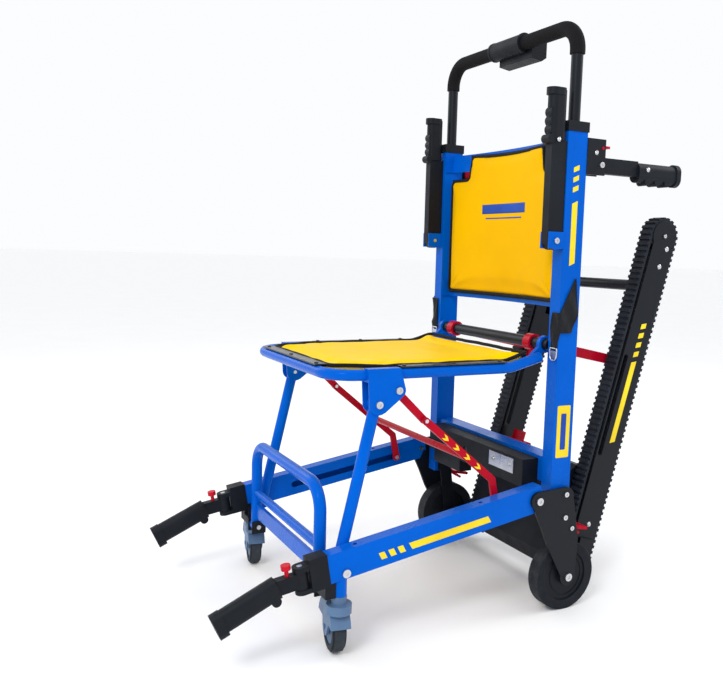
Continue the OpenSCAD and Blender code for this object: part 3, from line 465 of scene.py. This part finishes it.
def mesh_from(name, points, faces):
    """A clean mesh whose normals all face outwards."""
    mesh = bpy.data.meshes.new(name)
    mesh.from_pydata([tuple(p) for p in points], [], faces)
    tidy = bmesh.new()
    tidy.from_mesh(mesh)
    bmesh.ops.remove_doubles(tidy, verts=tidy.verts, dist=1e-6)
    bmesh.ops.recalc_face_normals(tidy, faces=tidy.faces)
    tidy.to_mesh(mesh)
    tidy.free()
    return mesh


def slab(name, outline, thickness, place):
    """A closed plate from a flat outline of (a, b) points; place(a, b, c) gives the row frame."""
    count = len(outline)
    points = [place(a, b, c) for c in (0, thickness) for a, b in outline]
    faces = [list(range(count))[::-1], list(range(count, 2 * count))]
    faces += [[i, (i + 1) % count, count + (i + 1) % count, count + i] for i in range(count)]
    return mesh_from(name, points, faces)


def sweep(name, path, section, closed=False):
    """A tube along points; section is a list of (a, b) offsets across it."""
    n, m = len(path), len(section)
    points, side = [], None
    for i in range(n):
        before = path[i - 1] if closed or i > 0 else path[i]
        after = path[(i + 1) % n] if closed or i < n - 1 else path[i]
        along = (after - before).normalized()
        if side is None:
            side = along.orthogonal().normalized()
        side = (side - along * side.dot(along)).normalized()
        other = along.cross(side)
        points += [path[i] + side * a + other * b for a, b in section]
    faces = []
    for i in range(n if closed else n - 1):
        j = (i + 1) % n
        faces += [[i * m + k, i * m + (k + 1) % m, j * m + (k + 1) % m, j * m + k] for k in range(m)]
    if not closed:
        faces += [list(range(m))[::-1], [(n - 1) * m + k for k in range(m)]]
    return mesh_from(name, points, faces)


def circle(radius, count=10):
    """A round section for a sweep."""
    return [(radius * math.cos(2 * math.pi * k / count), radius * math.sin(2 * math.pi * k / count))
            for k in range(count)]


def lathe(name, profile, centre, axis, count=28):
    """A turned solid: profile is (distance along axis, radius) pairs, both ends on the axis."""
    axis = Vector(axis).normalized()
    side = axis.orthogonal().normalized()
    other = axis.cross(side)
    points = []
    for along, radius in profile:
        points += [centre + axis * along + side * (radius * math.cos(t)) + other * (radius * math.sin(t))
                   for t in (2 * math.pi * k / count for k in range(count))]
    faces = []
    for i in range(len(profile) - 1):
        faces += [[i * count + k, i * count + (k + 1) % count, (i + 1) * count + (k + 1) % count,
                   (i + 1) * count + k] for k in range(count)]
    return mesh_from(name, points, faces)


def button_head(name, centre, axis, radius, height, material, body):
    """A domed socket-head bolt with a washer, seated on a surface."""
    r, h = radius, height
    profile = [(0, 0), (0, r * 1.35), (h * 0.25, r * 1.35), (h * 0.25, r), (h * 0.55, r * 0.97),
               (h * 0.8, r * 0.82), (h, r * 0.52), (h, r * 0.42), (h * 0.45, r * 0.4), (h * 0.42, 0)]
    return new_object(name, lathe(name, profile, centre, axis, 24), material, body)


def smooth_corners(outline, radii, steps=6):
    """Rounds the corners of an outline: one radius for each of its points."""
    made, n = [], len(outline)
    for i, point in enumerate(outline):
        here = Vector(point)
        before, after = Vector(outline[i - 1]), Vector(outline[(i + 1) % n])
        radius = radii[i]
        if radius == 0:
            made.append(tuple(here))
            continue
        a, b = (before - here).normalized(), (after - here).normalized()
        for step in range(steps + 1):
            t = step / steps
            made.append(tuple(here + a * radius * (1 - t) ** 2 + b * radius * t ** 2))
    return made


def densify(outline, spacing):
    """Adds points so that neighbours are no more than about the spacing apart."""
    made = []
    for i, point in enumerate(outline):
        a, b = Vector(point), Vector(outline[(i + 1) % len(outline)])
        count = max(1, int((b - a).length / spacing))
        made += [tuple(a.lerp(b, k / count)) for k in range(count)]
    return made


def apply_modifiers(piece):
    """Replaces a piece's mesh with what its modifiers make of it."""
    evaluated = piece.evaluated_get(bpy.context.evaluated_depsgraph_get())
    mesh = bpy.data.meshes.new_from_object(evaluated)
    old = piece.data
    piece.modifiers.clear()
    piece.data = mesh
    bpy.data.meshes.remove(old)


def inflate(name, mesh, voxel, pressure, cap, pinned):
    """Fills a flat closed form like a sewn pad; pinned(co) says which points stay put."""
    piece = bpy.data.objects.new(name, mesh)
    bpy.context.scene.collection.objects.link(piece)
    remesh = piece.modifiers.new("remesh", "REMESH")
    remesh.mode = "VOXEL"
    remesh.voxel_size = voxel
    apply_modifiers(piece)
    start = [v.co.copy() for v in piece.data.vertices]
    group = piece.vertex_groups.new(name="pin")
    group.add([i for i, co in enumerate(start) if pinned(co)], 1.0, "REPLACE")
    cloth = piece.modifiers.new("cloth", "CLOTH")
    settings = cloth.settings
    settings.quality = 5
    settings.use_pressure = True
    settings.uniform_pressure_force = pressure
    settings.vertex_group_mass = "pin"
    settings.tension_stiffness = 20
    settings.compression_stiffness = 20
    settings.bending_stiffness = 1.5
    settings.effector_weights.gravity = 0
    cloth.collision_settings.use_collision = False
    for number in range(1, 21):
        bpy.context.scene.frame_set(number)
    apply_modifiers(piece)
    bpy.context.scene.frame_set(1)
    for v, co in zip(piece.data.vertices, start):
        move = v.co - co
        if move.length > cap:
            v.co = co + move.normalized() * cap
    return piece


def thin_sheet(name, points, columns, rows):
    """A closed sheet from two layers of a grid of points, each counted column by column."""
    faces = []
    row, layer = rows + 1, (columns + 1) * (rows + 1)
    for i in range(columns):
        for j in range(rows):
            q = [i * row + j, (i + 1) * row + j, (i + 1) * row + j + 1, i * row + j + 1]
            faces += [q, [layer + k for k in reversed(q)]]
    rim = [i * row for i in range(columns + 1)] + [columns * row + j for j in range(1, row)]
    rim += [i * row + rows for i in range(columns - 1, -1, -1)] + list(range(rows - 1, 0, -1))
    faces += [[a, b, layer + b, layer + a] for a, b in zip(rim, rim[1:] + rim[:1])]
    return mesh_from(name, points, faces)


def settle(piece, shape):
    """Moves each point of a finished pad to where shape(co) says, then refines it once."""
    for v in piece.data.vertices:
        v.co = shape(v.co.copy())
    smooth = piece.modifiers.new("refine", "SUBSURF")
    smooth.levels = smooth.render_levels = 1
    apply_modifiers(piece)
    piece.data.polygons.foreach_set("use_smooth", [True] * len(piece.data.polygons))


# ---------------------------------------------------------------- backrest

BACK_LOW, BACK_HIGH = local_box("backrest_pad")[0].z, local_box("backrest_pad")[1].z
BACK_FRONT = local_box("backrest_pad")[0].y       # front skin of the pad at the posts
BACK_HALF, NOTCH_HALF, NOTCH_HIGH = 212, 146, BACK_HIGH - 56


def bow(x):
    """How far the backrest sits to the rear at a place across it, in millimetres."""
    return BACK_BOW * (1 - (x / POST_INNER) ** 2)


def back_outline(inset):
    """The backrest from the front: straight sides and notched upper corners."""
    a, n, low = BACK_HALF - inset, NOTCH_HALF - inset, BACK_LOW + inset
    top, shoulder, dip = BACK_HIGH - inset, NOTCH_HIGH - inset, 4
    half = [(a, low), (a, shoulder), (n + 4, shoulder), (n - 6, top)]
    radii = [8, 12, 12, 8]
    edge = [(x, top - dip * (1 - (x / n) ** 2)) for x in (n * 0.6, n * 0.3)]
    full = half + edge + [(0, top - dip)] + [(-x, z) for x, z in reversed(edge)]
    full += [(-x, z) for x, z in reversed(half)]
    radii = radii + [0] * 5 + radii[::-1]
    return smooth_corners(full, radii)


def backrest(materials):
    """The yellow padded panel: a thin filled pad, bent between the posts, with black piping."""
    thickness = 9
    mesh = slab("backrest_pad_cover", [(x, z) for x, z in back_outline(4)], thickness,
                lambda x, z, c: Vector((x, BACK_FRONT + 2 + c, z)) * MM)
    pad = inflate("backrest_pad_cover", mesh, 0.005, 3.2, 0.0045,
                  lambda co: co.y > (BACK_FRONT + thickness) * MM)

    def shape(co):
        x, y, z = co / MM
        rim = min(BACK_HALF - abs(x), z - BACK_LOW, BACK_HIGH - z)
        wave = noise.noise(Vector((x * 0.011, z * 0.009, 3.1))) * 1.3
        pull = 0.9 * math.sin(x * 0.052 + 1.7 * noise.noise(co / MM * 0.01)) * math.exp(-max(rim, 0) / 26)
        y = min(y, BACK_FRONT + 9.6)                # flat on the panel behind it
        y += bow(x) + (wave + pull if y < BACK_FRONT + 5 else 0)
        return at(x, y, z)

    settle(pad, shape)
    pad.data.materials.append(materials["yellow_vinyl"])
    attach(pad, "frame")
    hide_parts("backrest_pad")

    path = [at(x, BACK_FRONT + 5 + bow(x), z) for x, z in densify(back_outline(2.8), 7)]
    piping = sweep("backrest_piping", path, circle(2.7 * MM, 12), closed=True)
    new_object("backrest_piping", piping, materials["binding"], "frame")
    # black binding strip folded round the lower and side edges behind the piping
    path = [at(x, BACK_FRONT + 10.5 + bow(x), z) for x, z in densify(back_outline(2), 9)]
    flat = [(a * MM, b * MM) for a, b in ((-2, -4.5), (2, -4.5), (2, 4), (-2, 4))]
    band = sweep("backrest_binding", path, flat, closed=True)
    new_object("backrest_binding", band, materials["binding"], "frame")
    return pad


# ---------------------------------------------------------------- seat

SEAT_FRONT, SEAT_REAR = local_box("seat_pad")[0].y, -84
SEAT_RISE_FROM, SEAT_RISE = -150, 15


def seat_rise(y):
    """How far the rear of the seat curves up towards its pivot."""
    t = min(max((y - SEAT_RISE_FROM) / (SEAT_REAR - SEAT_RISE_FROM), 0), 1)
    return SEAT_RISE * t * t * (3 - 2 * t)


def seat_outline(inset):
    """The seat from above, with its front corners cut off."""
    half, front, rear = 199 - inset, SEAT_FRONT + inset, SEAT_REAR - inset
    right = [(half, rear), (half, front + 86), (half - 42, front), (0, front)]
    left = [(-x, y) for x, y in reversed(right[:3])]
    return smooth_corners(right + left, [14, 26, 20, 0, 20, 26, 14])


def seat(materials):
    """The yellow seat panel with its black hem, laid between the seat tubes."""
    mesh = slab("seat_pad_cover", seat_outline(4), 13.5,
                lambda x, y, c: Vector((x, y, 525.5 + c)) * MM)
    pad = inflate("seat_pad_cover", mesh, 0.006, 3.5, 0.005, lambda co: co.z < 0.527)

    def shape(co):
        x, y, z = co / MM
        across, along = x / 199, (y - SEAT_REAR) / (SEAT_FRONT - SEAT_REAR)
        bowl = 4.5 * (1 - across ** 2) * math.sin(math.pi * min(max(along, 0), 1))
        creases = noise.noise(Vector((x * 0.012, y * 0.02, 7.7))) * 1.2
        return at(x, y, z + seat_rise(y) - bowl + (creases if z > 532 else 0))

    settle(pad, shape)
    pad.data.materials.append(materials["yellow_seat"])
    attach(pad, "seat")
    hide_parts("seat_pad")

    def hem_point(x, y):
        ripple = 1.5 * noise.noise(Vector((x * 0.03, y * 0.03, 1.3)))
        return at(x, y, 537.5 + seat_rise(y) + ripple)

    hem_path = [hem_point(x, y) for x, y in densify(seat_outline(0.5), 8)]
    flat = [(a * MM, b * MM) for a, b in ((-3, -3), (3, -3), (3.8, 0), (3, 2.6), (-3, 2.6), (-3.8, 0))]
    new_object("seat_hem", sweep("seat_hem", hem_path, flat, closed=True), materials["binding"],
               "seat")

    # black flaps that run from the hem over the tubes and under the clamping strips
    def flap(name, corners, count=(10, 22)):
        points = []
        nu, nv = count
        for k in range(2):
            for i in range(nu + 1):
                for j in range(nv + 1):
                    u, v = i / nu, j / nv
                    a, b = corners[0].lerp(corners[1], v), corners[3].lerp(corners[2], v)
                    p = a.lerp(b, u)
                    ripple = noise.noise(Vector((p.x * 0.05, p.y * 0.05, 2)))
                    sag = -2.2 * math.sin(math.pi * u) + 0.7 * ripple
                    points.append(at(p.x, p.y, p.z + sag - 0.9 * k))
        return new_object(name, thin_sheet(name, points, nu, nv), materials["binding"], "seat")

    top = 537.2
    front = SEAT_FRONT
    flap("seat_flap_front", [Vector((-148, front - 20, top)), Vector((148, front - 20, top)),
                             Vector((150, front + 4, 536)), Vector((-150, front + 4, 536))])
    for sign, side in SIDES:
        flap(f"seat_flap_{side}", [Vector((sign * 217, -394, top)), Vector((sign * 217, -156, top)),
                                   Vector((sign * 195, -156, 536)), Vector((sign * 195, -394, 536))])


# ---------------------------------------------------------------- lap belt ends

def belt_ends(materials):
    """Black webbing folded round the outer front edge of each post, with a steel tongue."""
    wide, corner, deep = 21, 4, 45

    def route(t):
        """Across the front of the post, round its corner and along its outer face."""
        if t < wide:
            return Vector((231.5 + t, -49.6)), Vector((0, -1))
        if t < wide + corner:
            turn = (t - wide) / corner * math.pi / 2
            out = Vector((math.sin(turn), -math.cos(turn)))
            return Vector((252.5, -48)) + out * 1.6, out
        return Vector((254.1, -48 + t - wide - corner)), Vector((1, 0))

    def hems(t):
        """Heights of the lower and upper hem of the webbing at a place along that route."""
        y = -48 + max(0, t - wide - corner)
        fold = min(max((t - wide + 3) / 9, 0), 1)
        low = 563 * (1 - fold) + 598 * fold + max(0, y + 18) * 2.6
        high = 640 + (y + 48) * 2.0 if y < -12 else 712 - (y + 12) * 7.2
        return low, max(high, low + 6)

    columns, rows = 44, 22
    for sign, side in SIDES:
        points = []
        for layer in range(2):
            for i in range(columns + 1):
                t = (wide + corner + deep) * i / columns
                spot, out = route(t)
                low, high = hems(t)
                for j in range(rows + 1):
                    z = low + (high - low) * j / rows
                    crumple = noise.noise(Vector((t * 0.09, z * 0.06, 1)))
                    fold = 1.5 * math.sin(z * 0.085 + t * 0.16) + 1.3 * crumple
                    lift = max(0.3, 1.7 + fold) if layer else 0.0
                    hem = min(j, rows - j, i, columns - i)
                    lift += 0.9 * layer * (1 - min(hem, 2) / 2)
                    p = spot + out * lift
                    points.append(at(sign * p.x, p.y, z))
        name = f"belt_end_{side}"
        strap = new_object(name, thin_sheet(name, points, columns, rows), materials["black_webbing"], "frame")
        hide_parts("belt_straps")

        # tongue: a slotted steel plate in the lower hem, with a bent wire round it
        loop = smooth_corners([(231, 566), (253, 566), (252, 548), (247, 541), (237, 541), (232, 548)],
                              [3] * 6, 5)
        path = [at(sign * x, -51.2, z) for x, z in loop]
        new_object(f"belt_loop_{side}", sweep(f"belt_loop_{side}", path, circle(1.5 * MM, 10), closed=True),
                   materials["zinc_steel"], "frame")
        plate = smooth_corners([(233, 560), (251, 560), (249, 545), (235, 545)], [3] * 4, 4)
        mesh = slab(f"belt_tongue_{side}", plate, 1.6, lambda x, z, c: at(sign * x, -50.2 - c, z))
        new_object(f"belt_tongue_{side}", mesh, materials["zinc_steel"], "frame", smooth=False)


# ---------------------------------------------------------------- supply cable

def supply_cable(materials):
    """The cable from the crossbeam to the drive, laid as one fixed curve that rides on no body."""
    route = [(-70, -18, 290), (-70, -16, 270), (-72, -10, 256), (-76, 2, 246), (-80, 18, 242),
             (-82, 36, 246), (-82, 52, 254), (-80, 66, 262), (-77, 80, 269), (-75, 92, 274)]
    points = [at(*p) for p in route]
    fine = []
    for i in range(len(points) - 1):
        p0, p1 = points[max(i - 1, 0)], points[i]
        p2, p3 = points[i + 1], points[min(i + 2, len(points) - 1)]
        for k in range(5):
            t = k / 5
            fine.append(0.5 * ((2 * p1) + (p2 - p0) * t + (2 * p0 - 5 * p1 + 4 * p2 - p3) * t * t
                               + (3 * p1 - p0 - 3 * p2 + p3) * t ** 3))
    fine.append(points[-1])
    mesh = sweep("supply_cable", fine, circle(2.5 * MM, 14))
    cable = new_object("supply_cable", mesh, materials["cable_jacket"], None)
    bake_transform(cable)
    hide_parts("drive_cable")


# ---------------------------------------------------------------- printed stripes

PRINT_THICKNESS = 0.25


def slanted_bars(start, length, height, count):
    """Outlines of slanted bars in a row along the first axis."""
    pitch, lean, share = length / count, 0.35, 0.6
    return [[(start + i * pitch, 0), (start + i * pitch + pitch * share, 0),
             (start + i * pitch + pitch * share + lean * height, height),
             (start + i * pitch + lean * height, height)] for i in range(count)]


def stripe(name, outline, place, material, body):
    mesh = slab(name, outline, PRINT_THICKNESS, place)
    return new_object(name, mesh, material, body, smooth=False)


def stripes(materials, backrest_pad):
    """Plain generic bars where the chair carries printed bands."""
    yellow, blue = materials["yellow_print"], materials["blue_print"]
    hinge = Vector(JOINTS["base_fold"]["pos_m"])
    along = Vector((0, -math.cos(RAIL_SLOPE), -math.sin(RAIL_SLOPE)))
    across = Vector((0, -math.sin(RAIL_SLOPE), math.cos(RAIL_SLOPE)))
    for sign, side in SIDES:
        face = at(sign * (RAIL_FACE + 0.05), 0, 0).x

        def on_rail(a, b, c):
            spot = hinge + along * (a * MM) + across * (b * MM)
            return Vector((face + sign * c * MM, spot.y, spot.z))

        long_bar = [(118, -11), (300, -11), (306, 3), (124, 3)]
        stripe(f"rail_stripe_{side}", long_bar, on_rail, yellow, "rails")
        for i, bar in enumerate(slanted_bars(112, 60, 14, 3)):
            moved = [(a + 202, b - 11) for a, b in bar]
            stripe(f"rail_bar_{side}_{i}", moved, on_rail, yellow, "rails")

        post_face = at(sign * (POST_FACE + 0.05), 0, 0).x

        def on_post(y, z, c):
            return Vector((post_face + sign * c * MM, at(0, y, 0).y, z * MM))

        upright = [(-30, 736), (-16, 742), (-16, 868), (-30, 862)]
        stripe(f"post_stripe_{side}", upright, on_post, yellow, "frame")
        for i in range(3):
            z = 884 + i * 20
            bar = [(-30, z), (-16, z + 6), (-16, z + 16), (-30, z + 10)]
            stripe(f"post_bar_{side}_{i}", bar, on_post, yellow, "frame")

        # plain sticker low on the post
        for name, material, (y0, y1, z0, z1), lift in (
                (f"post_sticker_{side}", yellow, (-40, -6, 335, 446), 0),
                (f"post_sticker_bar_{side}", blue, (-30, -16, 352, 429), 0.2)):
            corners = smooth_corners([(y0, z0), (y1, z0), (y1, z1), (y0, z1)], [3] * 4, 4)
            stripe(name, corners, lambda y, z, c: on_post(y, z, c + lift), material, "frame")

        # arrows down the struts
        knee, foot = Vector((-176, 296)), Vector((-338, 430))
        lead = (knee - foot).normalized()
        turn = Vector((-lead.y, lead.x))
        for i in range(4):
            tip = foot + lead * (60 + 34 * i)
            arrow = [tip + lead * 9, tip + turn * 5, tip - lead * 9 + turn * 5, tip,
                     tip - lead * 9 - turn * 5, tip - turn * 5]
            stripe(f"strut_arrow_{side}_{i}", [tuple(p) for p in arrow],
                   lambda y, z, c: at(sign * (223.05 + c), y, z), yellow, "struts")

        # a long bar and chevrons on the outer side of the tracks
        def on_track(a, b, c):
            return track_point(sign * (TRACK_FACE + 0.05 + c), a, b)

        long_bar = [(2, 282), (16, 288), (16, 478), (2, 472)]
        stripe(f"track_stripe_{side}", long_bar, on_track, yellow, "tracks")
        for i in range(4):
            low = 484 + i * 22
            bar = [(2, low), (16, low + 6), (16, low + 18), (2, low + 12)]
            stripe(f"track_bar_{side}_{i}", bar, on_track, yellow, "tracks")

    # two plain blue rules printed on the front skin of the backrest
    mesh = backrest_pad.data
    skin = BVHTree.FromPolygons([v.co for v in mesh.vertices], [f.vertices for f in mesh.polygons])

    def on_skin(x, z, lift):
        spot = skin.ray_cast(at(x, BACK_FRONT - 60, z), Vector((0, 1, 0)))[0]
        return spot - Vector((0, lift * MM, 0))

    count, rows = 48, 6
    for number, (half, z0, z1) in enumerate(((84, 850, 872), (70, 838, 841))):
        points = []
        for lift in (0.35, -0.5):
            for i in range(count + 1):
                for j in range(rows + 1):
                    points.append(on_skin(-half + 2 * half * i / count, z0 + (z1 - z0) * j / rows, lift))
        name = f"backrest_rule_{number}"
        new_object(name, thin_sheet(name, points, count, rows), blue, "frame")


# ---------------------------------------------------------------- small hardware

def hardware(materials):
    """Socket-head bolts on the tracks, brackets, grips, armrests and drive cover."""
    steel = materials["zinc_steel"]
    out = Vector((1, 0, 0))
    for sign, side in SIDES:
        for i, (a, b) in enumerate(((0, 770), (16, 744), (8, 700), (6, 92))):
            button_head(f"track_bolt_{side}_{i}", track_point(sign * TRACK_FACE, a, b), out * sign,
                        4.2 * MM, 3.5 * MM, steel, "tracks")
        button_head(f"bracket_bolt_{side}", at(sign * 254, 26, 968), out * sign, 3.4 * MM, 3 * MM, steel,
                    "frame")
        button_head(f"rear_grip_bolt_{side}", at(sign * 255, 170, 944), out * sign, 3.6 * MM, 2.6 * MM, steel,
                    f"rear_handle_{side}")
        button_head(f"arm_collar_bolt_{side}", at(sign * 253.4, -72, 986), out * sign, 3.4 * MM, 2.6 * MM,
                    steel, f"armrest_{side}")
    # cover screws of the drive housing
    for i, (x, b) in enumerate(((-140, -18), (140, -18), (-140, 200), (140, 200), (0, 200), (0, -18))):
        button_head(f"cover_screw_{i}", track_point(x, 7, b), ACROSS_TRACK, 3.4 * MM, 2.4 * MM, steel,
                    "tracks")


# ---------------------------------------------------------------- studio

def studio():
    """A pale floor, a white world and three soft lights."""
    scene = bpy.context.scene
    size, segments = 90.0, 128
    mesh = bpy.data.meshes.new("floor")
    ring = [(size * math.cos(2 * math.pi * k / segments), size * math.sin(2 * math.pi * k / segments), 0)
            for k in range(segments)]
    mesh.from_pydata(ring, [], [list(range(segments))])
    floor = bpy.data.objects.new("floor", mesh)
    scene.collection.objects.link(floor)
    s = Shader("pale_floor")
    tone = s.mix(s.ramp(s.noise(3, 4), 0.3, 0.7), (0.95, 0.95, 0.95), (0.97, 0.97, 0.97))
    mesh.materials.append(s.set(color=tone, rough=0.6, specular=0.2,
                                normal=s.bump(s.noise(90, 4), 0.02, 0.001)))

    world = bpy.data.worlds.new("studio")
    world.use_nodes = True
    background = world.node_tree.nodes["Background"]
    background.inputs["Color"].default_value = (0.97, 0.98, 1.0, 1)
    background.inputs["Strength"].default_value = 1.0
    scene.world = world
    scene.view_settings.view_transform = "Standard"

    def area(name, place, target, size_m, power):
        data = bpy.data.lights.new(name, "AREA")
        data.shape = "DISK"
        data.size = size_m
        data.energy = power
        light = bpy.data.objects.new(name, data)
        scene.collection.objects.link(light)
        aim = (Vector(target) - Vector(place)).to_track_quat("-Z", "Y")
        light.matrix_world = Matrix.Translation(Vector(place)) @ aim.to_matrix().to_4x4()

    middle = (0, 0, 0.6)
    area("key", (2.2, -2.6, 3.0), middle, 1.3, 60)
    area("fill", (-2.8, -1.4, 2.2), middle, 2.0, 18)
    area("rim", (0.8, 3.0, 2.6), middle, 1.6, 30)


add_camera()
MATERIALS = make_materials()
MATERIALS["yellow_seat"] = vinyl("yellow_seat_vinyl", SEAT_YELLOW, axis_b=1)
MATERIALS["binding"] = webbing("black_binding", (0.007, 0.008, 0.010), 0.0012)
MATERIALS["yellow_print"] = moulded("yellow_print", (0.88, 0.62, 0.02), 0.35, 900, 0.05, 0.03)
MATERIALS["blue_print"] = moulded("blue_print", (0.01, 0.06, 0.36), 0.4, 900, 0.05, 0.03)
paint_nodes(MATERIALS)
PAD = backrest(MATERIALS)
seat(MATERIALS)
belt_ends(MATERIALS)
supply_cable(MATERIALS)
stripes(MATERIALS, PAD)
hardware(MATERIALS)
studio()
